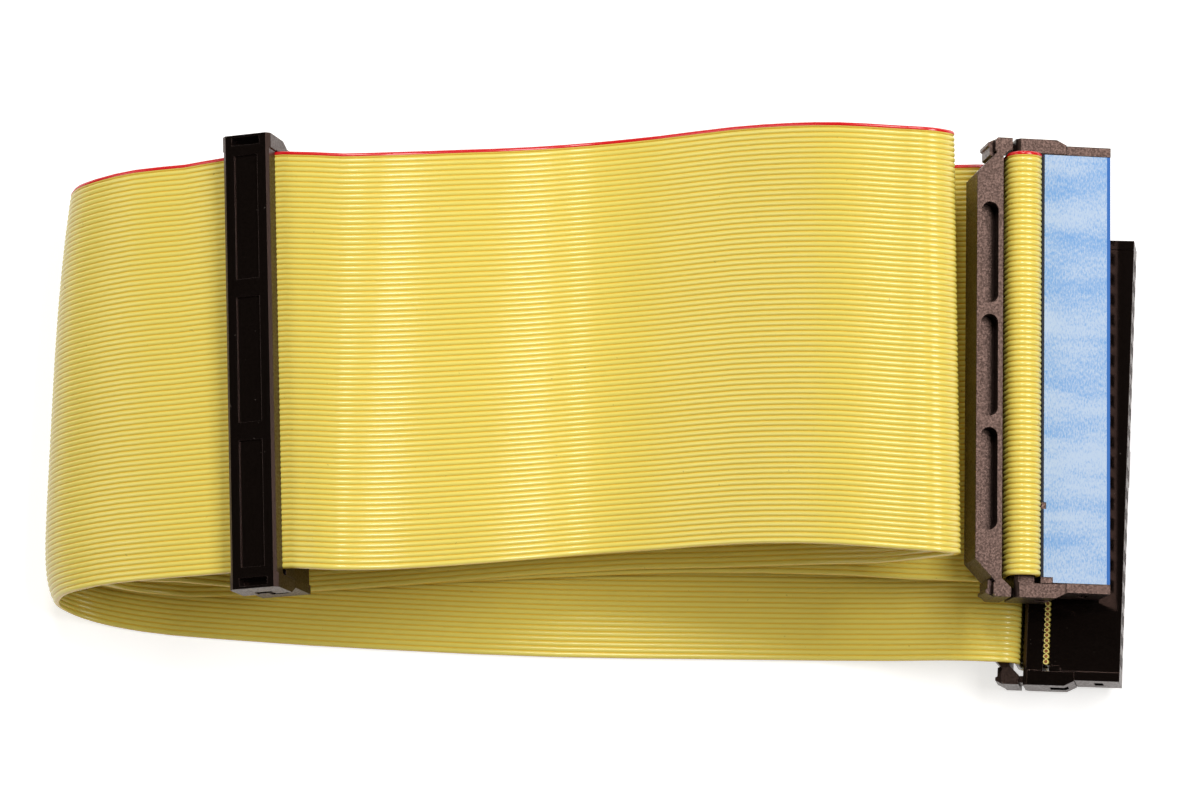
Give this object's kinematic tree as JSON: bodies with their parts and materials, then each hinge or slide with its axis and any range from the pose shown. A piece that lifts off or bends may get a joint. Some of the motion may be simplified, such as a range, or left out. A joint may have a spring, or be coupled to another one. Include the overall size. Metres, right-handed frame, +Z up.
{
  "type": "ribbon cable",
  "caption": "Flat yellow ribbon cable with a red edge wire, folded back on itself, with black insulation-displacement sockets at its ends and along its length.",
  "frame": {"origin": "centre of the bounding box's base, on the surface the cable lies on", "axes": "+X along the folded cable towards the two end sockets' mating faces, +Y across the cable towards its red edge wire, +Z up"},
  "size_m": [0.133, 0.0667, 0.0246],
  "materials": {
    "cable_yellow": "gloss",
    "socket_black": "satin",
    "relief_black": "matte",
    "contact_bronze": "polished",
    "ground_tin": "satin",
    "bare_copper": "satin",
    "label_blue": "satin"
  },
  "bodies": {
    "root": {"ribbon": "cable_yellow", "host_housing": "socket_black", "host_cover": "socket_black", "host_strain_relief": "relief_black", "host_wire_tips": "bare_copper", "host_odd_contacts": "contact_bronze", "host_even_contacts": "contact_bronze", "host_ground_comb": "ground_tin", "middle_housing": "socket_black", "middle_cover": "socket_black", "middle_odd_contacts": "contact_bronze", "middle_even_contacts": "contact_bronze", "middle_ground_comb": "ground_tin", "end_housing": "socket_black", "end_cover": "socket_black", "end_strain_relief": "relief_black", "end_wire_tips": "bare_copper", "end_odd_contacts": "contact_bronze", "end_even_contacts": "contact_bronze", "end_ground_comb": "ground_tin", "host_label": "label_blue"}
  },
  "joints": []
}
